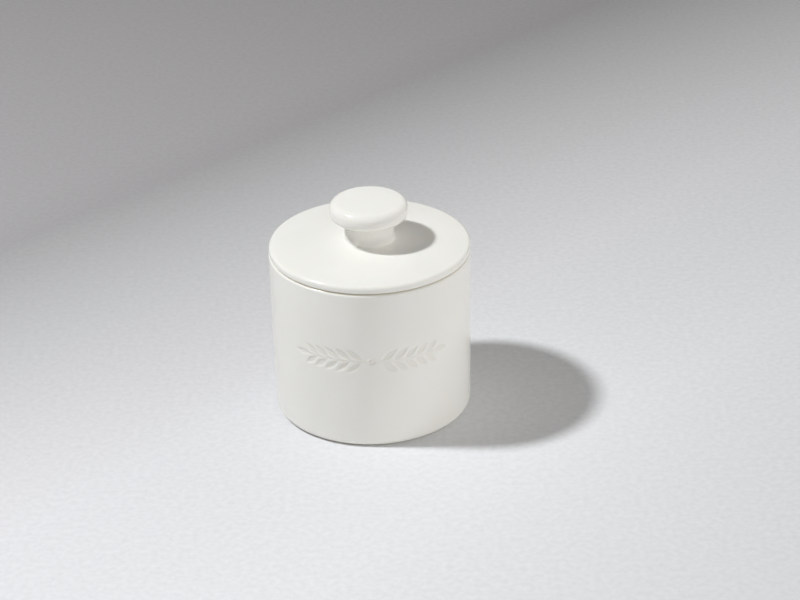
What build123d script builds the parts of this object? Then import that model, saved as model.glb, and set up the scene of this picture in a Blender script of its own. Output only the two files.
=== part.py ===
from build123d import *
import os
from math import atan, cos, degrees, radians, sin

# Butter crock: a straight-sided porcelain pot and a loose lid. The lid carries a knob on top
# and, hanging underneath, an open cup that is packed with butter and dips into water in the pot.
# Millimetres. The origin is on the table at the centre of the foot, +Z is up and -Y is the front.

# Pot
POT_HEIGHT = 84.5              # table to the top of the rim
POT_RIM_RADIUS = 50.0          # outside, at the rim
POT_TAPER = 0.8                # radius lost from the rim to the table
POT_WALL = 4.2
POT_FLOOR = 4.0                # thickness of the floor
POT_FOOT_ROUND = 3.4           # rolled corner between the wall and the foot
POT_RIM_ROUND = 1.3            # both edges of the rim
POT_WELL_ROUND = 6.0           # inside corner between wall and floor
FOOT_RING_WIDTH = 5.0          # flat ring that the pot stands on
FOOT_RECESS = 1.5              # underside of the floor above the table
FOOT_RING_ROUND = 0.6

# Lid
LID_INSET = 0.3                # lid radius less than the rim radius
LID_SEAT_CLEARANCE = 0.3       # underside of the lid above the rim
LID_EDGE = 3.7                 # height of the lid's edge
LID_EDGE_ROUND_TOP = 1.7
LID_EDGE_ROUND_BELOW = 0.9
LID_RISE = 2.0                 # crown of the lid above its edge
NECK_HEIGHT = 3.4              # raised neck on the lid that the knob is joined to
NECK_ROUND = 1.0

# Butter cup under the lid
WATER_GAP = 11.0               # pot wall to cup wall, at the top
MOUTH_CLEARANCE = 13.0         # mouth of the cup above the floor of the pot
CUP_WALL = 4.0
CUP_TAPER = 1.5                # radius lost from the top of the cup to its mouth
CUP_MOUTH_ROUND = 1.2
CUP_STUB = 4.0                 # short ring under the lid that the cup is joined to
CUP_CEILING_ROUND = 3.5
CUP_SHOULDER_ROUND = 2.4

# Knob
KNOB_RADIUS = 19.4
KNOB_STEM_RADIUS = 12.2
KNOB_FINGER_GAP = 11.4         # crown of the lid to the underside of the knob
KNOB_EDGE = 8.7                # height of the knob's edge
KNOB_RISE = 0.9                # crown of the knob above its edge
KNOB_ROUND_TOP = 4.0
KNOB_ROUND_BELOW = 3.5
KNOB_STEM_ROUND = 2.5

# Leaf sprigs pressed into the front of the pot: two, mirrored, growing from a berry
SPRIG_DROP = 36.4              # rim down to the centre line of the sprigs
SPRIG_DEPTH = 0.4
SPRIG_START = 4.4              # centre line of the pot to the first pair of leaves, along the wall
LEAF_PAIRS = 5
LEAF_PITCH = 5.7
LEAF_LENGTH = 9.0
LEAF_WIDTH = 3.0
LEAF_ANGLE = 38.0              # leaf to stalk, degrees
LEAF_SHRINK = 0.04             # each pair is this much smaller than the one before
LEAF_GAP = 0.9                 # root of a leaf to the middle of the stalk
BERRY_RADIUS = 1.7

# Heights and radii that follow from the sizes above
foot_radius = POT_RIM_RADIUS - POT_TAPER
floor_z = FOOT_RECESS + POT_FLOOR
lid_radius = POT_RIM_RADIUS - LID_INSET
lid_z = POT_HEIGHT + LID_SEAT_CLEARANCE
lid_edge_z = lid_z + LID_EDGE
crown_z = lid_edge_z + LID_RISE
neck_z = crown_z + NECK_HEIGHT
cup_radius = POT_RIM_RADIUS - POT_WALL - WATER_GAP
stub_z = lid_z - CUP_STUB
mouth_z = floor_z + MOUTH_CLEARANCE
knob_z = crown_z + KNOB_FINGER_GAP
knob_edge_z = knob_z + KNOB_EDGE
wall_lean = degrees(atan(POT_TAPER / POT_HEIGHT))
sprig_z = POT_HEIGHT - SPRIG_DROP
sprig_radius = foot_radius + POT_TAPER * sprig_z / POT_HEIGHT


def at(radius, height):
    """Point of a half-section."""
    return Vector(radius, 0, height)


def level_arc(start, end):
    """Arc that leaves its start level and bends to its end."""
    return TangentArc(start, end, tangent=(end.X - start.X, 0, 0))


def turned(edges, rounds):
    """Solid turned about Z from a half-section whose corners are rounded."""
    section = make_face(edges)
    for radius, height, rounding in rounds:
        corner = section.vertices().sort_by_distance(at(radius, height))[0]
        section = fillet(corner, rounding)
    return revolve(section, Axis.Z)


def leaf_outline(length, width):
    """Almond-shaped leaf along X, centred on the origin."""
    tip = length / 2
    upper = ThreePointArc((-tip, 0), (0, width / 2), (tip, 0))
    lower = ThreePointArc((tip, 0), (0, -width / 2), (-tip, 0))
    return make_face(upper + lower)


def on_the_wall(along, above):
    """Plane on the pot's wall, from a distance round the front and one above the sprigs."""
    angle = along / sprig_radius
    outward = Vector(sin(angle), -cos(angle), 0)
    sideways = Vector(cos(angle), sin(angle), 0)
    centre = outward * sprig_radius + Vector(0, 0, sprig_z + above)
    return Plane(origin=centre, x_dir=sideways, z_dir=outward)


def leaf_places():
    """Distance along, distance above, turn and scale of each leaf of the right-hand sprig."""
    places = []
    for pair in range(LEAF_PAIRS):
        scale = 1 - LEAF_SHRINK * pair
        root = SPRIG_START + LEAF_PITCH * pair
        reach = LEAF_GAP + scale * LEAF_LENGTH / 2
        turn = radians(LEAF_ANGLE)
        for side in (1, -1):
            places.append((root + reach * cos(turn), side * reach * sin(turn), side * LEAF_ANGLE, scale))
    tip_scale = 1 - LEAF_SHRINK * LEAF_PAIRS
    tip_root = SPRIG_START + LEAF_PITCH * LEAF_PAIRS
    places.append((tip_root + tip_scale * LEAF_LENGTH / 2, 0, 0, tip_scale))
    return places


def sprig_cuts():
    """What is pressed out of the wall: two sprigs of leaves and the berry between them."""
    reach = 3 * SPRIG_DEPTH
    cuts = [extrude(on_the_wall(0, 0) * Circle(BERRY_RADIUS), reach, both=True)]
    for along, above, turn, scale in leaf_places():
        leaf = leaf_outline(LEAF_LENGTH * scale, LEAF_WIDTH * scale)
        for side in (1, -1):
            place = on_the_wall(side * along, above) * Rot(0, 0, side * turn)
            cuts.append(extrude(place * leaf, reach, both=True))
    half_height = LEAF_LENGTH + LEAF_GAP
    skin = make_face(Polyline(
        at(sprig_radius - SPRIG_DEPTH, sprig_z - half_height),
        at(sprig_radius + reach, sprig_z - half_height),
        at(sprig_radius + reach, sprig_z + half_height),
        at(sprig_radius - SPRIG_DEPTH, sprig_z + half_height),
        close=True,
    ))
    skin = skin.rotate(Axis(at(sprig_radius, sprig_z), (0, 1, 0)), wall_lean)
    shell = revolve(skin, Axis.Z)
    return [cut & shell for cut in cuts]


def pot():
    """Straight-sided pot with a foot ring and a rounded rim."""
    ring_inner = foot_radius - POT_FOOT_ROUND - FOOT_RING_WIDTH
    rim_inner = POT_RIM_RADIUS - POT_WALL
    well_radius = foot_radius - POT_WALL
    edges = Polyline(
        at(0, FOOT_RECESS),
        at(ring_inner - FOOT_RECESS, FOOT_RECESS),
        at(ring_inner, 0),
        at(foot_radius, 0),
        at(POT_RIM_RADIUS, POT_HEIGHT),
        at(rim_inner, POT_HEIGHT),
        at(well_radius, floor_z),
        at(0, floor_z),
        close=True,
    )
    body = turned(edges, (
        (ring_inner, 0, FOOT_RING_ROUND),
        (foot_radius, 0, POT_FOOT_ROUND),
        (POT_RIM_RADIUS, POT_HEIGHT, POT_RIM_ROUND),
        (rim_inner, POT_HEIGHT, POT_RIM_ROUND),
        (well_radius, floor_z, POT_WELL_ROUND),
    ))
    return body - sprig_cuts()


def lid():
    """Crowned plate with a neck for the knob above and a ring for the cup below."""
    below = Polyline(
        at(0, neck_z),
        at(0, lid_z),
        at(cup_radius - CUP_WALL, lid_z),
        at(cup_radius - CUP_WALL, stub_z),
        at(cup_radius, stub_z),
        at(cup_radius, lid_z),
        at(lid_radius, lid_z),
        at(lid_radius, lid_edge_z),
    )
    neck_root = at(KNOB_STEM_RADIUS + NECK_ROUND, crown_z)
    neck_foot = at(KNOB_STEM_RADIUS, crown_z + NECK_ROUND)
    crown = level_arc(neck_root, at(lid_radius, lid_edge_z)) + level_arc(neck_root, neck_foot)
    neck = Polyline(
        neck_foot,
        at(KNOB_STEM_RADIUS, neck_z),
        at(0, neck_z),
    )
    return turned(below + crown + neck, (
        (cup_radius - CUP_WALL, lid_z, CUP_CEILING_ROUND),
        (cup_radius, lid_z, CUP_SHOULDER_ROUND),
        (lid_radius, lid_z, LID_EDGE_ROUND_BELOW),
        (lid_radius, lid_edge_z, LID_EDGE_ROUND_TOP),
    ))


def butter_cup():
    """Open cup that hangs mouth down from the lid."""
    mouth_radius = cup_radius - CUP_TAPER
    edges = Polyline(
        at(cup_radius - CUP_WALL, stub_z),
        at(cup_radius, stub_z),
        at(mouth_radius, mouth_z),
        at(mouth_radius - CUP_WALL, mouth_z),
        close=True,
    )
    return turned(edges, (
        (mouth_radius, mouth_z, CUP_MOUTH_ROUND),
        (mouth_radius - CUP_WALL, mouth_z, CUP_MOUTH_ROUND),
    ))


def knob():
    """Flat mushroom knob on a thick stem."""
    outside = Polyline(
        at(0, knob_edge_z + KNOB_RISE),
        at(0, neck_z),
        at(KNOB_STEM_RADIUS, neck_z),
        at(KNOB_STEM_RADIUS, knob_z),
        at(KNOB_RADIUS, knob_z),
        at(KNOB_RADIUS, knob_edge_z),
    )
    crown = level_arc(at(0, knob_edge_z + KNOB_RISE), at(KNOB_RADIUS, knob_edge_z))
    return turned(outside + crown, (
        (KNOB_STEM_RADIUS, knob_z, KNOB_STEM_ROUND),
        (KNOB_RADIUS, knob_z, KNOB_ROUND_BELOW),
        (KNOB_RADIUS, knob_edge_z, KNOB_ROUND_TOP),
    ))


os.makedirs("parts", exist_ok=True)
export_step(pot(), "parts/crock_body.step")
export_step(lid(), "parts/lid_plate.step")
export_step(butter_cup(), "parts/butter_cup.step")
export_step(knob(), "parts/lid_knob.step")
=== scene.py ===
"""Looks of a lidded porcelain butter crock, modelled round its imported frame.

The pot and the three parts of its lid are turned from half-sections, as a potter's jigger turns them,
and dressed in a clear glaze. What pieces share comes from the frame; the sizes that the frame's boxes
can't tell are fields of each piece's class. Lengths are metres, +Z is up and -Y is the front.
"""

import logging
import math
from collections.abc import Callable, Mapping, Sequence
from dataclasses import dataclass
from enum import Enum
from typing import Any

import bpy
from mathutils import Matrix, Vector


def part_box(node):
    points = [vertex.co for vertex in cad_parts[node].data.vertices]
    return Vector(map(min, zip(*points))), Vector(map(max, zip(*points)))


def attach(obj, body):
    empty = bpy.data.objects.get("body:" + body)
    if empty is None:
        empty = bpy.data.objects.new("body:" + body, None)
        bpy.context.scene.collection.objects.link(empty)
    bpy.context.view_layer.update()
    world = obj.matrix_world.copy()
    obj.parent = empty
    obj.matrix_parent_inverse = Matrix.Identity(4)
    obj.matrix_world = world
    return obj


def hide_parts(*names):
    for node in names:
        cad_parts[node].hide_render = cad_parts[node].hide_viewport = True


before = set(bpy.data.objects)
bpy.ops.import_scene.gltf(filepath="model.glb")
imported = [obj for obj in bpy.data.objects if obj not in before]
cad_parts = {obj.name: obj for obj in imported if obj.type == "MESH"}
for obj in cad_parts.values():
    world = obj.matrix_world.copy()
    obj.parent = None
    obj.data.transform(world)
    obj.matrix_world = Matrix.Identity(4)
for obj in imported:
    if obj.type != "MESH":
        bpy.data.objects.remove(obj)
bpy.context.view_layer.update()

log = logging.getLogger("butter_crock")

MM = 0.001
ARC_STEP = math.radians(8.0)        # largest turn between two points of a rounded corner
COLUMNS = 288                       # facets round a plain turned piece
MERGE = 0.001 * MM                  # points nearer than this are one point
CREASE = math.radians(42.0)         # faces that meet at more than this keep a sharp edge
FRONT = math.radians(-90.0)         # direction of the front, from +X
POOL_AND_SHADE = "glaze_pool_and_shade"                 # attribute: 1 where glaze gathers and shade is painted in the pressed hollows, 0 elsewhere
BACKDROP = "#C2C2C4"                # shade of the studio far away, seen by the camera alone
MIX_FIRST, MIX_SECOND, MIX_RESULT = 6, 7, 2             # colour sockets of the Mix node
SMOOTH, CLOUDY, GRAINY, FIBROUS = 1.0, 2.0, 3.0, 4.0    # detail of a noise texture


class Body(Enum):
    """Bodies of the frame that a piece can ride on."""

    CROCK = "crock"
    LID = "lid"


# --------------------------------------------------------------------------------------- materials


def linear(colour: str) -> tuple[float, float, float, float]:
    """Turns an sRGB hex colour into the linear colour that shaders take.

    Args:
        colour: Hex colour such as "#E8E6DF".

    Returns:
        Linear red, green and blue, and full opacity.
    """
    channels = (int(colour[place:place + 2], 16) / 255 for place in (1, 3, 5))
    red, green, blue = (c / 12.92 if c <= 0.04045 else ((c + 0.055) / 1.055) ** 2.4 for c in channels)
    return red, green, blue, 1.0


def add_node(tree: bpy.types.NodeTree, kind: str, inputs: Mapping[Any, Any] | None = None,
             **settings: Any) -> bpy.types.Node:
    """Adds one node, with its settings and its links.

    Args:
        tree: Node tree that it goes into.
        kind: Blender's name for the type of node.
        inputs: For an input's name or number, its value or the output socket that feeds it.
        **settings: Attributes of the node, such as its operation.

    Returns:
        The new node.
    """
    node = tree.nodes.new(kind)
    for name, value in settings.items():
        setattr(node, name, value)
    for key, value in (inputs or {}).items():
        if isinstance(value, bpy.types.NodeSocket):
            tree.links.new(value, node.inputs[key])
        else:
            node.inputs[key].default_value = value
    return node


def new_material(name: str) -> tuple[bpy.types.Material, bpy.types.NodeTree]:
    """Makes a material with an empty node tree.

    Args:
        name: Name of the material.

    Returns:
        The material and its tree.
    """
    material = bpy.data.materials.new(name)
    material.use_nodes = True
    material.node_tree.nodes.clear()
    return material, material.node_tree


@dataclass(frozen=True)
class GlazedPorcelain:
    """White porcelain, slip-cast and fired under a clear glaze.

    The eye gets a warm white body, sharp small highlights that wander a little because the glaze ran
    before it set, a slightly deeper tone where the glaze is thick, and a darker, warmer colour in the
    pressed hollows where glaze gathers, which also paints shade there.
    """

    name: str = "glazed_porcelain"
    body: str = "#EDECE8"
    thick: str = "#ECEBE6"              # the same body under a slightly thicker coat
    pooled_and_shaded: str = "#E8E6DF"             # glaze gathered in a hollow, darker and warmer than the body: partly the glaze, partly painted shade
    roughness: tuple[float, float] = (0.10, 0.16)
    ior: float = 1.5
    specular: float = 0.25              # half as strong as plain glass, for a softly finished glaze
    depth: float = 2.0 * MM             # how far light strays inside the body
    stray: tuple[float, float, float] = (1.0, 0.88, 0.75)   # share of it for red, green and blue
    translucence: float = 0.3
    drift: float = 24.0 * MM            # spacing of changes in the coat's thickness
    drift_band: tuple[float, float] = (0.35, 0.65)      # noise at which the coat is thin and thick
    wave: float = 17.0 * MM             # spacing of the waves that the melt left
    wave_height: float = 0.035 * MM
    peel: float = 2.6 * MM              # spacing of the fine orange peel
    peel_height: float = 0.0016 * MM

    def material(self) -> bpy.types.Material:
        """Builds the glaze."""
        material, tree = new_material(self.name)
        place = add_node(tree, "ShaderNodeTexCoord").outputs["Object"]
        drift = add_node(tree, "ShaderNodeTexNoise", {
            "Vector": place, "Scale": 1 / self.drift, "Detail": CLOUDY})
        thin, full = self.drift_band
        coat = add_node(tree, "ShaderNodeMapRange", {
            "Value": drift.outputs["Fac"], "From Min": thin, "From Max": full},
            interpolation_type="SMOOTHSTEP")
        tone = add_node(tree, "ShaderNodeMix", {
            "Factor": coat.outputs["Result"], MIX_FIRST: linear(self.body), MIX_SECOND: linear(self.thick)},
            data_type="RGBA")
        # painted shade: the pressed hollows take a darker, warmer colour as deep as they are pressed, along
        # with the glaze gathered there
        pool_and_shade = add_node(tree, "ShaderNodeAttribute", attribute_name=POOL_AND_SHADE)
        colour = add_node(tree, "ShaderNodeMix", {
            "Factor": pool_and_shade.outputs["Fac"], MIX_FIRST: tone.outputs[MIX_RESULT],
            MIX_SECOND: linear(self.pooled_and_shaded)}, data_type="RGBA")
        low, high = self.roughness
        gloss = add_node(tree, "ShaderNodeMapRange", {
            "Value": coat.outputs["Result"], "To Min": low, "To Max": high})
        wave = add_node(tree, "ShaderNodeTexNoise", {
            "Vector": place, "Scale": 1 / self.wave, "Detail": SMOOTH})
        waves = add_node(tree, "ShaderNodeBump", {
            "Height": wave.outputs["Fac"], "Distance": self.wave_height})
        peel = add_node(tree, "ShaderNodeTexNoise", {
            "Vector": place, "Scale": 1 / self.peel, "Detail": SMOOTH})
        skin = add_node(tree, "ShaderNodeBump", {
            "Height": peel.outputs["Fac"], "Distance": self.peel_height, "Normal": waves.outputs["Normal"]})
        shader = add_node(tree, "ShaderNodeBsdfPrincipled", {
            "Base Color": colour.outputs[MIX_RESULT], "Roughness": gloss.outputs["Result"],
            "IOR": self.ior, "Specular IOR Level": self.specular, "Subsurface Weight": self.translucence,
            "Subsurface Radius": self.stray, "Subsurface Scale": self.depth,
            "Normal": skin.outputs["Normal"]})
        add_node(tree, "ShaderNodeOutputMaterial", {"Surface": shader.outputs["BSDF"]})
        return material


@dataclass(frozen=True)
class BarePorcelainWithSeamShade:
    """Porcelain wiped clean of glaze, where pieces stood on the kiln shelf or on each other.

    The eye gets a matt, slightly sandy ring, creamier than the glazed body; it is painted darker and
    browner than bare porcelain, as shade in the seam between lid and pot.
    """

    name: str = "bare_porcelain_and_seam_shade"
    # painted darker and browner than bare porcelain, as shade in the seam between lid and pot
    pale: str = "#E1D7BA"
    dark: str = "#D1C49E"
    roughness: float = 0.82
    ior: float = 1.5
    grit: float = 0.5 * MM              # spacing of the sandy grains
    grit_height: float = 0.03 * MM

    def material(self) -> bpy.types.Material:
        """Builds the bare body."""
        material, tree = new_material(self.name)
        place = add_node(tree, "ShaderNodeTexCoord").outputs["Object"]
        grit = add_node(tree, "ShaderNodeTexNoise", {
            "Vector": place, "Scale": 1 / self.grit, "Detail": GRAINY})
        colour = add_node(tree, "ShaderNodeMix", {
            "Factor": grit.outputs["Fac"], MIX_FIRST: linear(self.pale), MIX_SECOND: linear(self.dark)},
            data_type="RGBA")
        grain = add_node(tree, "ShaderNodeBump", {
            "Height": grit.outputs["Fac"], "Distance": self.grit_height})
        shader = add_node(tree, "ShaderNodeBsdfPrincipled", {
            "Base Color": colour.outputs[MIX_RESULT], "Roughness": self.roughness, "IOR": self.ior,
            "Normal": grain.outputs["Normal"]})
        add_node(tree, "ShaderNodeOutputMaterial", {"Surface": shader.outputs["BSDF"]})
        return material


@dataclass(frozen=True)
class StudioPaper:
    """Matt paper of the studio floor, its colour going from pale grey in front to grey behind: painted
    shade where the light falls off towards the back and left.
    """

    name: str = "studio_paper"
    # each shade of the painted falloff, with the share of its length where it stands
    falloff_shades: tuple[tuple[float, str], ...] = (
        (0.0, "#EDEEF1"), (0.17, "#E6E7EA"), (0.33, "#E2E2E5"), (0.48, "#D7D6D9"),
        (0.62, "#C8C8CA"), (0.76, "#B7B7B9"), (0.9, "#A4A2A4"), (1.0, "#A8A6A8"))
    painted_falloff: tuple[float, float] = (-0.10, 0.32)   # where the painted falloff starts and ends, measured from the crock
    turn: float = math.radians(45.0)            # it runs to the back and this much to the left
    fibre: float = 3.0 * MM                     # spacing of the faint mottle, coarse enough to show
    fibre_band: tuple[float, float] = (0.3, 0.7)    # noise at its darkest and palest spots
    mottle: float = 0.08                        # how much darker its darkest spots are
    sweep: tuple[float, float] = (0.62, 1.3)    # how far away the floor turns into the backdrop
    roughness: float = 0.9
    specular: float = 0.2

    def material(self) -> bpy.types.Material:
        """Builds the paper."""
        material, tree = new_material(self.name)
        place = add_node(tree, "ShaderNodeTexCoord").outputs["Object"]
        along = (-math.sin(self.turn), math.cos(self.turn), 0.0)
        reach = add_node(tree, "ShaderNodeVectorMath", {0: place, 1: along}, operation="DOT_PRODUCT")
        # painted shade: the paper darkens towards the back and left, standing in for light that falls off
        # there
        start, end = self.painted_falloff
        depth = add_node(tree, "ShaderNodeMapRange", {
            "Value": reach.outputs["Value"], "From Min": start, "From Max": end})
        painted_falloff = add_node(tree, "ShaderNodeValToRGB", {"Fac": depth.outputs["Result"]})
        ramp = painted_falloff.color_ramp
        (_, first), *between, (_, last) = self.falloff_shades
        ramp.elements[0].color, ramp.elements[1].color = linear(first), linear(last)
        for share, shade in between:
            ramp.elements.new(share).color = linear(shade)
        fibre = add_node(tree, "ShaderNodeTexNoise", {
            "Vector": place, "Scale": 1 / self.fibre, "Detail": FIBROUS})
        dark, pale = self.fibre_band
        shade = add_node(tree, "ShaderNodeMapRange", {
            "Value": fibre.outputs["Fac"], "From Min": dark, "From Max": pale, "To Min": 1 - self.mottle})
        colour = add_node(tree, "ShaderNodeVectorMath", {
            0: painted_falloff.outputs["Color"], "Scale": shade.outputs["Result"]}, operation="SCALE")
        shader = add_node(tree, "ShaderNodeBsdfPrincipled", {
            "Base Color": colour.outputs["Vector"], "Roughness": self.roughness,
            "Specular IOR Level": self.specular})
        distance = add_node(tree, "ShaderNodeVectorMath", {0: place}, operation="LENGTH")
        near, far = self.sweep
        away = add_node(tree, "ShaderNodeMapRange", {
            "Value": distance.outputs["Value"], "From Min": near, "From Max": far},
            interpolation_type="SMOOTHSTEP")
        seen = add_node(tree, "ShaderNodeLightPath").outputs["Is Camera Ray"]
        share = add_node(tree, "ShaderNodeMath", {0: away.outputs["Result"], 1: seen}, operation="MULTIPLY")
        backdrop = add_node(tree, "ShaderNodeEmission", {"Color": linear(BACKDROP)})
        sheet = add_node(tree, "ShaderNodeMixShader", {
            0: share.outputs["Value"], 1: shader.outputs["BSDF"], 2: backdrop.outputs["Emission"]})
        add_node(tree, "ShaderNodeOutputMaterial", {"Surface": sheet.outputs["Shader"]})
        return material


# --------------------------------------------------------------------------------------- turning


@dataclass(frozen=True)
class Corner:
    """Corner of a half-section: its distance from the axis, its height and how far it is rounded."""

    radius: float
    height: float
    rounding: float = 0.0

    @property
    def point(self) -> Vector:
        """Place of the sharp corner in the half-section."""
        return Vector((self.radius, self.height))


def arc_corners(start: tuple[float, float], end: tuple[float, float], count: int) -> list[Corner]:
    """Corners along an arc that leaves its start level and bends to its end.

    Args:
        start: Radius and height where the arc is level.
        end: Radius and height where it ends.
        count: Number of corners between the two.

    Returns:
        The corners between start and end, without either.
    """
    across, down = end[0] - start[0], start[1] - end[1]
    bend = (across ** 2 + down ** 2) / (2 * down)
    corners = []
    for step in range(1, count + 1):
        reach = across * step / (count + 1)
        drop = bend - math.copysign(math.sqrt(bend ** 2 - reach ** 2), bend)
        corners.append(Corner(start[0] + reach, start[1] - drop))
    return corners


def rounded(corners: Sequence[Corner]) -> list[Vector]:
    """Draws a half-section with each of its rounded corners as an arc.

    Args:
        corners: Corners in order; the first and last are both on the axis, or are one and the same.

    Returns:
        Points of the outline, as radius and height.
    """
    outline = [corners[0].point]
    for before, corner, after in zip(corners, corners[1:], corners[2:]):
        if not corner.rounding:
            outline.append(corner.point)
            continue
        back = (before.point - corner.point).normalized()
        ahead = (after.point - corner.point).normalized()
        half = back.angle(ahead) / 2
        centre = (back + ahead).normalized() * corner.rounding / math.sin(half)
        reach = corner.rounding / math.tan(half)
        first, last = back * reach - centre, ahead * reach - centre
        angle = math.atan2(first.y, first.x)
        sweep = math.remainder(math.atan2(last.y, last.x) - angle, math.tau)
        steps = max(2, math.ceil(abs(sweep) / ARC_STEP))
        for step in range(steps + 1):
            turn = angle + sweep * step / steps
            spoke = Vector((math.cos(turn), math.sin(turn))) * corner.rounding
            outline.append(corner.point + centre + spoke)
    outline.append(corners[-1].point)
    return outline


def start_piece() -> None:
    """Leaves object mode with nothing selected, ready for a new primitive."""
    if bpy.context.object and bpy.context.object.mode != "OBJECT":
        bpy.ops.object.mode_set(mode="OBJECT")
    bpy.ops.object.select_all(action="DESELECT")


def turned(name: str, outline: Sequence[Vector],
           sectors: Sequence[tuple[float, int]] = ((math.tau, COLUMNS),),
           start: float = 0.0) -> bpy.types.Object:
    """Turns a closed piece about Z from its half-section.

    Args:
        name: Name of the piece.
        outline: Points of the half-section, from the axis round to the axis or to the first point.
        sectors: Angle and number of facets of each sector in turn; the angles add up to a full turn.
        start: Direction from +X where the first sector starts.

    Returns:
        The piece, closed, merged and with its faces outward.
    """
    start_piece()
    bpy.ops.mesh.primitive_plane_add(size=MM, location=(0, 0, 0))
    piece = bpy.context.object
    piece.name = piece.data.name = name
    bpy.ops.object.mode_set(mode="EDIT")
    bpy.ops.mesh.select_mode(type="VERT")
    bpy.ops.mesh.select_all(action="SELECT")
    bpy.ops.mesh.merge(type="CENTER")
    spoke = Vector((math.cos(start), math.sin(start), 0))
    places = [spoke * point.x + Vector((0, 0, point.y)) for point in outline]
    bpy.ops.transform.translate(value=places[0])
    for here, there in zip(places, places[1:]):
        bpy.ops.mesh.extrude_region_move(TRANSFORM_OT_translate={"value": there - here})
    bpy.ops.mesh.select_all(action="SELECT")
    for angle, facets in sectors:
        # the operator turns clockwise seen from above, so a minus sign takes it the other way
        bpy.ops.mesh.spin(steps=facets, angle=-angle, center=(0, 0, 0), axis=(0, 0, 1))
    bpy.ops.mesh.select_all(action="SELECT")
    bpy.ops.mesh.remove_doubles(threshold=MERGE)
    bpy.ops.mesh.normals_make_consistent(inside=False)
    bpy.ops.object.mode_set(mode="OBJECT")
    return piece


def apply_modifiers(piece: bpy.types.Object) -> None:
    """Applies every modifier of a piece, in order."""
    bpy.context.view_layer.objects.active = piece
    for modifier in list(piece.modifiers):
        bpy.ops.object.modifier_apply(modifier=modifier.name)


def select_faces(piece: bpy.types.Object, chosen: Callable[[Vector], bool]) -> None:
    """Goes into edit mode with some faces selected and nothing else.

    Args:
        piece: Piece to edit.
        chosen: Tells from a face's middle whether it is selected.
    """
    bpy.context.view_layer.objects.active = piece
    bpy.ops.object.mode_set(mode="EDIT")
    bpy.ops.mesh.select_mode(type="FACE")
    bpy.ops.mesh.select_all(action="DESELECT")
    bpy.ops.object.mode_set(mode="OBJECT")
    for face in piece.data.polygons:
        face.select = chosen(face.center)
    bpy.ops.object.mode_set(mode="EDIT")


def dress(piece: bpy.types.Object, glaze: bpy.types.Material, bare_and_seam_shade: bpy.types.Material | None = None,
          takes_bare_and_seam_shade: Callable[[Vector], bool] | None = None) -> None:
    """Smooths a piece, glazes it and leaves some of its faces unglazed, in a material painted darker as
    shade where it shows in the seam.

    Args:
        piece: Finished mesh.
        glaze: Material of the whole piece.
        bare_and_seam_shade: Material of the faces without glaze, painted darker and browner as shade where
            it shows in the seam.
        takes_bare_and_seam_shade: Tells from a face's middle whether it has no glaze.
    """
    bpy.context.view_layer.objects.active = piece
    piece.select_set(True)
    bpy.ops.object.shade_smooth_by_angle(angle=CREASE)
    piece.data.materials.append(glaze)
    if bare_and_seam_shade is None or takes_bare_and_seam_shade is None:
        return
    piece.data.materials.append(bare_and_seam_shade)
    piece.active_material_index = len(piece.data.materials) - 1
    select_faces(piece, takes_bare_and_seam_shade)
    bpy.ops.object.material_slot_assign()
    bpy.ops.object.mode_set(mode="OBJECT")


def seat(piece: bpy.types.Object, node: str, body: Body) -> None:
    """Puts a finished piece in its CAD node's place on a body of the frame.

    Args:
        piece: Finished piece.
        node: CAD node that it stands for.
        body: Body that carries it.
    """
    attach(piece, body.value)
    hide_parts(node)
    faces = len(piece.data.polygons)
    log.info("%s: %d faces, rides on %s in place of %s", piece.name, faces, body.value, node)


def smooth_step(value: float, low: float, high: float) -> float:
    """Rises from 0 at low to 1 at high along a smooth curve."""
    share = min(1.0, max(0.0, (value - low) / (high - low)))
    return share * share * (3 - 2 * share)


def off_axis(place: Vector) -> float:
    """Distance of a place from the axis that everything is turned about."""
    return math.hypot(place.x, place.y)


# --------------------------------------------------------------------------------------- pot


@dataclass(frozen=True)
class Leaf:
    """Almond-shaped leaf of a sprig, in the pot's unrolled wall."""

    along: float                        # middle of the leaf, round the wall from the middle of the front
    above: float                        # and above the middle of the sprigs
    turn: float                         # out of level
    length: float
    width: float

    def across(self, along: float, above: float) -> tuple[float, float]:
        """Place seen from the leaf: along its midrib and to one side of it."""
        right, up = along - self.along, above - self.above
        cosine, sine = math.cos(self.turn), math.sin(self.turn)
        return right * cosine + up * sine, up * cosine - right * sine

    def outside(self, along: float, above: float) -> float:
        """Distance of a place from the leaf's edge, less than 0 inside the leaf."""
        rib, side = self.across(along, above)
        half = self.width / 2
        bend = (self.length ** 2 / 4 + half ** 2) / (2 * half)
        return math.hypot(rib, abs(side) + bend - half) - bend


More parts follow.
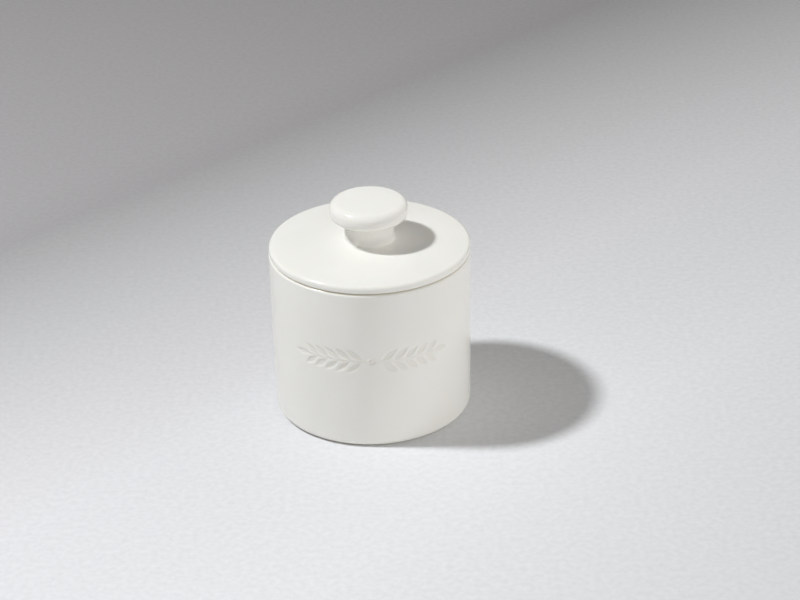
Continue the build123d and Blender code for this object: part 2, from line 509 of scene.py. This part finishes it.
@dataclass
class LeafSprigs:
    """Two mirrored sprigs of leaves and a berry between them, pressed into the clay of the wall."""

    height: float                       # middle of the sprigs above the table
    radius: float                       # wall at that height
    depth: float = 0.4 * MM
    start: float = 4.4 * MM             # middle of the pot to the first pair of leaves
    pairs: int = 5
    pitch: float = 5.7 * MM
    leaf_length: float = 9.0 * MM
    leaf_width: float = 3.0 * MM
    leaf_turn: float = math.radians(38.0)       # leaf to stalk
    shrink: float = 0.04                # each pair is this much smaller than the one before
    gap: float = 0.9 * MM               # root of a leaf to the middle of the stalk
    berry_radius: float = 1.7 * MM
    bead: tuple[float, float] = (0.2, 0.8)      # shares of that radius where its raised middle falls off
    bead_height: float = 0.5            # share of the depth that the middle stands up
    stalk_width: float = 0.9 * MM
    stalk_depth: float = 0.55           # share of the leaves' depth
    slope: float = 0.8 * MM             # half the width of the sloping side that the glaze rounds off
    rib_width: float = 0.36 * MM
    rib_height: float = 0.28            # share of the depth that the midrib stands up
    skin: float = 1.5 * MM              # places deeper in the clay than this stay as they are

    def __post_init__(self) -> None:
        """Grows the leaves and works out how much of the wall the sprigs take."""
        self.leaves = self.grow()
        tip = self.leaves[-1]
        self.reach = tip.along + tip.length / 2 + 2 * self.slope
        leaf_rise = (self.leaf_length + self.gap) * math.sin(self.leaf_turn)
        self.half_height = leaf_rise + self.leaf_width / 2 + self.slope

    def grow(self) -> list[Leaf]:
        """Sets out the leaves of the right-hand sprig, from the berry to the tip."""
        leaves = []
        for pair in range(self.pairs):
            scale = 1 - self.shrink * pair
            root = self.start + self.pitch * pair
            reach = self.gap + scale * self.leaf_length / 2
            along = root + reach * math.cos(self.leaf_turn)
            above = reach * math.sin(self.leaf_turn)
            length, width = scale * self.leaf_length, scale * self.leaf_width
            for side in (1, -1):
                leaves.append(Leaf(along, side * above, side * self.leaf_turn, length, width))
        scale = 1 - self.shrink * self.pairs
        root = self.start + self.pitch * self.pairs
        length, width = scale * self.leaf_length, scale * self.leaf_width
        leaves.append(Leaf(root + length / 2, 0.0, 0.0, length, width))
        return leaves

    def pressed(self, along: float, above: float) -> float:
        """How far a place of the wall is pressed in.

        Args:
            along: Distance round the wall from the middle of the front.
            above: Height above the middle of the sprigs.

        Returns:
            0 on the plain wall to 1 at the full depth.
        """
        along = abs(along)
        from_berry = math.hypot(along, above)
        pressed = 1 - smooth_step(from_berry - self.berry_radius, -self.slope, self.slope)
        flat, foot = (share * self.berry_radius for share in self.bead)
        pressed -= self.bead_height * (1 - smooth_step(from_berry, flat, foot))
        for leaf in self.leaves:
            outside = leaf.outside(along, above)
            if outside > self.slope:
                continue
            rib, side = leaf.across(along, above)
            tip = smooth_step(leaf.length / 2 - abs(rib), 0, self.leaf_width)
            floor = 1 - self.rib_height * tip * math.exp(-(side / self.rib_width) ** 2)
            pressed = max(pressed, floor * (1 - smooth_step(outside, -self.slope, self.slope)))
        if self.berry_radius < along < self.leaves[-1].along:
            stalk = 1 - smooth_step(abs(above), 0, self.stalk_width)
            pressed = max(pressed, self.stalk_depth * stalk)
        return pressed

    def weight(self, place: Vector) -> float:
        """How far the wall is pressed in at a place in space."""
        if off_axis(place) < self.radius - self.skin or place.y > 0:
            return 0.0
        along, above = math.atan2(place.x, -place.y) * self.radius, place.z - self.height
        if abs(along) > self.reach or abs(above) > self.half_height:
            return 0.0
        return self.pressed(along, above)

    def press_into(self, piece: bpy.types.Object) -> None:
        """Presses the sprigs into a turned wall, and notes how deep each place is, where glaze gathers and
        a darker colour paints shade.
        """
        weights = [self.weight(vertex.co) for vertex in piece.data.vertices]
        group = piece.vertex_groups.new(name="pressed")
        for index, weight in enumerate(weights):
            if weight > 0:
                group.add([index], weight, "REPLACE")
        press = piece.modifiers.new("press", "DISPLACE")
        press.vertex_group = group.name
        press.mid_level = 0.0
        press.strength = -self.depth
        apply_modifiers(piece)
        # how deep each place is pressed, for the darker glaze colour that paints shade there
        layer = piece.data.attributes.new(POOL_AND_SHADE, "FLOAT", "POINT")
        layer.data.foreach_set("value", weights)


@dataclass
class Pot:
    """Straight-sided pot: foot ring, floor, wall and rounded rim, with leaf sprigs on its front."""

    node: str = "crock_body"
    taper: float = 0.8 * MM             # radius lost from the rim to the table
    wall: float = 4.2 * MM
    floor: float = 4.0 * MM
    foot_round: float = 3.4 * MM
    rim_round: float = 1.3 * MM
    well_round: float = 6.0 * MM
    ring_width: float = 5.0 * MM        # flat ring that the pot stands on
    ring_round: float = 0.6 * MM
    recess: float = 1.5 * MM            # underside of the floor above the table
    sprig_drop: float = 36.4 * MM       # rim down to the middle of the sprigs
    fine: float = 0.27 * MM             # spacing of the mesh where the sprigs are pressed
    coarse_facets: int = 132            # facets round the plain rest of the wall
    glaze_line: float = 0.55 * MM       # the glaze stops this far above the table

    def __post_init__(self) -> None:
        """Takes the pot's height and radius from the frame."""
        low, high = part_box(self.node)
        self.height = high.z - low.z
        # the rim's rounding starts below the top, so the leaning wall never quite reaches its full radius
        lean = self.taper * self.rim_round / self.height
        self.rim_radius = (high.x - low.x) / 2 + lean
        self.foot_radius = self.rim_radius - self.taper
        middle = self.height - self.sprig_drop
        self.sprigs = LeafSprigs(height=middle, radius=self.foot_radius + self.taper * middle / self.height)

    def outline(self) -> list[Vector]:
        """Half-section from the middle of the underside, up the outside and down into the well."""
        ring_inner = self.foot_radius - self.foot_round - self.ring_width
        floor_top = self.recess + self.floor
        reach = self.sprigs.half_height
        low, high = self.sprigs.height - reach, self.sprigs.height + reach
        rows = math.ceil(2 * reach / self.fine)
        heights = [low + (high - low) * row / rows for row in range(rows + 1)]
        wall = [Corner(self.foot_radius + self.taper * height / self.height, height) for height in heights]
        return rounded([
            Corner(0, self.recess),
            Corner(ring_inner - self.recess, self.recess),
            Corner(ring_inner, 0, self.ring_round),
            Corner(self.foot_radius, 0, self.foot_round),
            *wall,
            Corner(self.rim_radius, self.height, self.rim_round),
            Corner(self.rim_radius - self.wall, self.height, self.rim_round),
            Corner(self.foot_radius - self.wall, floor_top, self.well_round),
            Corner(0, floor_top),
        ])

    def takes_bare_and_seam_shade(self, place: Vector) -> bool:
        """Whether the glaze was wiped off there: the ring it was fired on and the top of the rim, whose
        darker, browner colour also paints shade in the seam under the lid.
        """
        on_top = self.height - place.z < self.glaze_line
        off_middle = abs(off_axis(place) - (self.rim_radius - self.wall / 2))
        return place.z < self.glaze_line or on_top and off_middle < self.wall / 2 - self.rim_round

    def build(self, glaze: bpy.types.Material, bare_and_seam_shade: bpy.types.Material) -> None:
        """Turns the pot, presses its sprigs and dresses it."""
        front = 2 * self.sprigs.reach / self.sprigs.radius
        facets = math.ceil(front * self.sprigs.radius / self.fine)
        sectors = ((front, facets), (math.tau - front, self.coarse_facets))
        piece = turned("glazed_pot", self.outline(), sectors, start=FRONT - front / 2)
        self.sprigs.press_into(piece)
        dress(piece, glaze, bare_and_seam_shade, self.takes_bare_and_seam_shade)
        seat(piece, self.node, Body.CROCK)


# --------------------------------------------------------------------------------------- lid


@dataclass
class LidPlate:
    """Crowned lid with a raised neck for the knob and a short ring under it for the butter cup."""

    node: str = "lid_plate"
    seat_clearance: float = 0.3 * MM    # underside above the pot's rim
    edge: float = 3.7 * MM              # height of the lid's edge
    edge_round_top: float = 1.7 * MM
    edge_round_below: float = 0.9 * MM
    rise: float = 2.0 * MM              # crown above the edge
    neck_round: float = 1.0 * MM
    cup_wall: float = 4.0 * MM
    ceiling_round: float = 3.5 * MM
    shoulder_round: float = 2.4 * MM
    seat_width: float = 4.0 * MM        # ring without glaze over the pot's rim
    seat_rise: float = 0.35 * MM        # how far it goes up the rounded edge, where its colour shows as painted shade in the seam
    crown_rows: int = 14
    crown_end: float = 1.5              # the crown's rows stop this many roundings short of the edge

    def __post_init__(self) -> None:
        """Takes what the lid shares with the pot, the knob and the butter cup from the frame."""
        low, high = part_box(self.node)
        self.radius = (high.x - low.x) / 2
        self.seat_inner = self.radius - self.seat_width
        self.ring_z, self.neck_z = low.z, high.z
        self.under_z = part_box("crock_body")[1].z + self.seat_clearance
        self.edge_z = self.under_z + self.edge
        self.crown_z = self.edge_z + self.rise
        cup_low, cup_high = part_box("butter_cup")
        self.cup_radius = (cup_high.x - cup_low.x) / 2

    def outline(self, stem_radius: float) -> list[Vector]:
        """Half-section from the middle of the cup's ceiling, round the edge and up to the neck."""
        inner = self.cup_radius - self.cup_wall
        root = (stem_radius + self.neck_round, self.crown_z)
        rim = (self.radius, self.edge_z)
        crown = arc_corners(root, rim, self.crown_rows)
        last = self.radius - self.crown_end * self.edge_round_top
        crown = [corner for corner in crown if corner.radius < last]
        return rounded([
            Corner(0, self.under_z),
            Corner(inner, self.under_z, self.ceiling_round),
            Corner(inner, self.ring_z),
            Corner(self.cup_radius, self.ring_z),
            Corner(self.cup_radius, self.under_z, self.shoulder_round),
            Corner(self.seat_inner, self.under_z),
            Corner(self.radius, self.under_z, self.edge_round_below),
            Corner(self.radius, self.edge_z, self.edge_round_top),
            *reversed(crown),
            Corner(stem_radius, self.crown_z, self.neck_round),
            Corner(stem_radius, self.neck_z),
            Corner(0, self.neck_z),
        ])

    def takes_bare_and_seam_shade(self, place: Vector) -> bool:
        """Whether the glaze was wiped off there: only the ring that lies over the pot's rim, whose darker,
        browner colour paints shade in the seam.
        """
        return place.z < self.under_z + self.seat_rise and off_axis(place) > self.seat_inner

    def build(self, glaze: bpy.types.Material, bare_and_seam_shade: bpy.types.Material, stem_radius: float) -> None:
        """Turns the lid and dresses it."""
        piece = turned("glazed_lid", self.outline(stem_radius))
        dress(piece, glaze, bare_and_seam_shade, self.takes_bare_and_seam_shade)
        seat(piece, self.node, Body.LID)


@dataclass
class Knob:
    """Flat mushroom knob on a thick stem."""

    node: str = "lid_knob"
    stem_radius: float = 12.2 * MM
    edge: float = 8.7 * MM              # height of the knob's edge
    rise: float = 0.9 * MM              # crown above the edge
    round_top: float = 4.0 * MM
    round_below: float = 3.5 * MM
    stem_round: float = 2.5 * MM
    crown_rows: int = 8
    crown_end: float = 1.2              # the crown's rows stop this many roundings short of the edge

    def __post_init__(self) -> None:
        """Takes the knob's height and radius from the frame."""
        low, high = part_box(self.node)
        self.radius = (high.x - low.x) / 2
        self.foot_z, self.top_z = low.z, high.z
        self.edge_z = self.top_z - self.rise
        self.under_z = self.edge_z - self.edge

    def outline(self) -> list[Vector]:
        """Half-section from the foot of the stem, round the edge to the middle of the crown."""
        crown = arc_corners((0, self.top_z), (self.radius, self.edge_z), self.crown_rows)
        last = self.radius - self.crown_end * self.round_top
        crown = [corner for corner in crown if corner.radius < last]
        return rounded([
            Corner(0, self.foot_z),
            Corner(self.stem_radius, self.foot_z),
            Corner(self.stem_radius, self.under_z, self.stem_round),
            Corner(self.radius, self.under_z, self.round_below),
            Corner(self.radius, self.edge_z, self.round_top),
            *reversed(crown),
            Corner(0, self.top_z),
        ])

    def build(self, glaze: bpy.types.Material) -> None:
        """Turns the knob and dresses it."""
        piece = turned("glazed_knob", self.outline())
        dress(piece, glaze)
        seat(piece, self.node, Body.LID)


@dataclass
class ButterCup:
    """Open cup that hangs mouth down from the lid and holds the butter."""

    node: str = "butter_cup"
    wall: float = 4.0 * MM
    taper: float = 1.5 * MM             # radius lost from the top to the mouth
    mouth_round: float = 1.2 * MM
    glaze_line: float = 0.5 * MM        # the glaze stops this far above the mouth

    def __post_init__(self) -> None:
        """Takes the cup's radius and its two ends from the frame."""
        low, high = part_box(self.node)
        self.radius = (high.x - low.x) / 2
        self.mouth_z, self.top_z = low.z, high.z

    def outline(self) -> list[Vector]:
        """Closed half-section of the wall: down the outside, round the mouth and up the inside."""
        mouth = self.radius - self.taper
        return rounded([
            Corner(self.radius, self.top_z),
            Corner(mouth, self.mouth_z, self.mouth_round),
            Corner(mouth - self.wall, self.mouth_z, self.mouth_round),
            Corner(self.radius - self.wall, self.top_z),
            Corner(self.radius, self.top_z),
        ])

    def build(self, glaze: bpy.types.Material, bare_and_seam_shade: bpy.types.Material) -> None:
        """Turns the cup and dresses it."""
        piece = turned("glazed_butter_cup", self.outline())
        dress(piece, glaze, bare_and_seam_shade, lambda place: place.z < self.mouth_z + self.glaze_line)
        seat(piece, self.node, Body.LID)


# --------------------------------------------------------------------------------------- studio


@dataclass(frozen=True)
class KeyLamp:
    """Round lamp high on the left, which points at the crock."""

    name: str = "key"
    azimuth: float = 181.6              # degrees from +X, anticlockwise seen from above
    elevation: float = 56.6             # degrees above the table
    distance: float = 1.15
    diameter: float = 107.0 * MM
    power: float = 10.6                 # watts
    colour: str = "#FCFEFF"

    def add(self, target: Vector) -> None:
        """Hangs the lamp and points it at the target."""
        azimuth, elevation = math.radians(self.azimuth), math.radians(self.elevation)
        level = math.cos(elevation)
        away = Vector((math.cos(azimuth) * level, math.sin(azimuth) * level, math.sin(elevation)))
        light = bpy.data.lights.new(self.name, "AREA")
        light.shape = "DISK"
        light.size = self.diameter
        light.energy = self.power
        light.color = linear(self.colour)[:3]
        lamp = bpy.data.objects.new(self.name, light)
        lamp.location = target + away * self.distance
        lamp.rotation_mode = "QUATERNION"
        lamp.rotation_quaternion = away.to_track_quat("Z", "Y")
        bpy.context.scene.collection.objects.link(lamp)


@dataclass
class Studio:
    """Pale paper floor, one key lamp in a softly lit room, and the camera."""

    floor_size: float = 9.0             # side of the square that is laid
    room: str = "#FFFDF9"
    room_strength: float = 0.24         # of the soft light all round, at the height where it peaks
    glow: float = 1.78                  # what a wide panel on the right, a little in front, adds to it
    glow_side: float = -20.0            # direction of the panel, degrees from +X
    glow_focus: float = 2.0             # the higher, the narrower the panel
    horizon: float = 0.1                # raises the light near the horizon
    zenith_fall: float = 2.0            # the higher, the sooner it fades towards the zenith
    lens: float = 108.0                 # focal length in millimetres
    distance: float = 1.2               # camera to the middle of the picture
    tilt: float = 27.9                  # degrees that the camera looks down
    roll: float = -1.2                  # degrees
    aim_height: float = 50.0 * MM       # the point of the axis that the framing is measured from
    aim_right: float = 14.3 * MM        # middle of the picture, right of that point
    aim_up: float = 5.1 * MM            # and above it

    def add_floor(self, paper: StudioPaper) -> None:
        """Lays the floor."""
        start_piece()
        bpy.ops.mesh.primitive_plane_add(size=self.floor_size, location=(0, 0, 0))
        floor = bpy.context.object
        floor.name = "studio_floor"
        floor.data.materials.append(paper.material())

    def add_world(self) -> None:
        """Fills the room with soft light from a band above the horizon, strongest on the right."""
        world = bpy.data.worlds.new("studio_world")
        world.use_nodes = True
        tree = world.node_tree
        tree.nodes.clear()
        direction = add_node(tree, "ShaderNodeTexCoord").outputs["Generated"]
        azimuth = math.radians(self.glow_side)
        panel = (math.cos(azimuth), math.sin(azimuth), 0)
        side = add_node(tree, "ShaderNodeVectorMath", {0: direction, 1: panel}, operation="DOT_PRODUCT")
        # from 0 straight away from the panel to 1 straight at it
        facing = add_node(tree, "ShaderNodeMath", {
            0: side.outputs["Value"], 1: 0.5, 2: 0.5}, operation="MULTIPLY_ADD")
        lobe = add_node(tree, "ShaderNodeMath", {
            0: facing.outputs["Value"], 1: self.glow_focus}, operation="POWER")
        amount = add_node(tree, "ShaderNodeMath", {
            0: lobe.outputs["Value"], 1: self.glow, 2: self.room_strength}, operation="MULTIPLY_ADD")
        # up the sky the light goes as (horizon + z) * (1 - z) ** zenith_fall, divided by its peak
        axes = add_node(tree, "ShaderNodeSeparateXYZ", {"Vector": direction})
        rise = add_node(tree, "ShaderNodeMath", {
            0: axes.outputs["Z"], 1: self.horizon}, operation="ADD", use_clamp=True)
        above = add_node(tree, "ShaderNodeMath", {0: 1.0, 1: axes.outputs["Z"]}, operation="SUBTRACT")
        fall = add_node(tree, "ShaderNodeMath", {
            0: above.outputs["Value"], 1: self.zenith_fall}, operation="POWER")
        band = add_node(tree, "ShaderNodeMath", {
            0: rise.outputs["Value"], 1: fall.outputs["Value"]}, operation="MULTIPLY")
        brightest = (1 - self.zenith_fall * self.horizon) / (1 + self.zenith_fall)
        peak = (self.horizon + brightest) * (1 - brightest) ** self.zenith_fall
        share = add_node(tree, "ShaderNodeMath", {0: band.outputs["Value"], 1: peak}, operation="DIVIDE")
        strength = add_node(tree, "ShaderNodeMath", {
            0: amount.outputs["Value"], 1: share.outputs["Value"]}, operation="MULTIPLY")
        room = add_node(tree, "ShaderNodeBackground", {
            "Color": linear(self.room), "Strength": strength.outputs["Value"]})
        # the glaze goes on mirroring the lit room; only the camera sees the backdrop
        backdrop = add_node(tree, "ShaderNodeBackground", {"Color": linear(BACKDROP)})
        seen = add_node(tree, "ShaderNodeLightPath").outputs["Is Camera Ray"]
        view = add_node(tree, "ShaderNodeMixShader", {
            0: seen, 1: room.outputs["Background"], 2: backdrop.outputs["Background"]})
        add_node(tree, "ShaderNodeOutputWorld", {"Surface": view.outputs["Shader"]})
        bpy.context.scene.world = world

    def add_camera(self) -> None:
        """Sets up the camera in front of the crock, looking down at it."""
        data = bpy.data.cameras.new("camera")
        data.lens = self.lens
        camera = bpy.data.objects.new("camera", data)
        turn = Matrix.Rotation(math.radians(90 - self.tilt), 3, "X")
        turn @= Matrix.Rotation(math.radians(self.roll), 3, "Z")
        right, up, back = turn.col
        aim = Vector((0, 0, self.aim_height)) + right * self.aim_right + up * self.aim_up
        camera.matrix_world = Matrix.Translation(aim + back * self.distance) @ turn.to_4x4()
        bpy.context.scene.collection.objects.link(camera)
        bpy.context.scene.camera = camera

    def build(self) -> None:
        """Builds the whole studio."""
        self.add_floor(StudioPaper())
        self.add_world()
        middle = Vector((0, 0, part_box("crock_body")[1].z / 2))
        KeyLamp().add(middle)
        self.add_camera()
        bpy.context.scene.view_settings.view_transform = "Standard"


def main() -> None:
    """Builds the crock piece by piece, then the studio round it."""
    logging.basicConfig(level=logging.INFO, format="%(name)s: %(message)s")
    glaze = GlazedPorcelain().material()
    bare_and_seam_shade = BarePorcelainWithSeamShade().material()
    knob = Knob()
    Pot().build(glaze, bare_and_seam_shade)
    ButterCup().build(glaze, bare_and_seam_shade)
    LidPlate().build(glaze, bare_and_seam_shade, knob.stem_radius)
    knob.build(glaze)
    Studio().build()


if __name__ == "__main__":
    main()
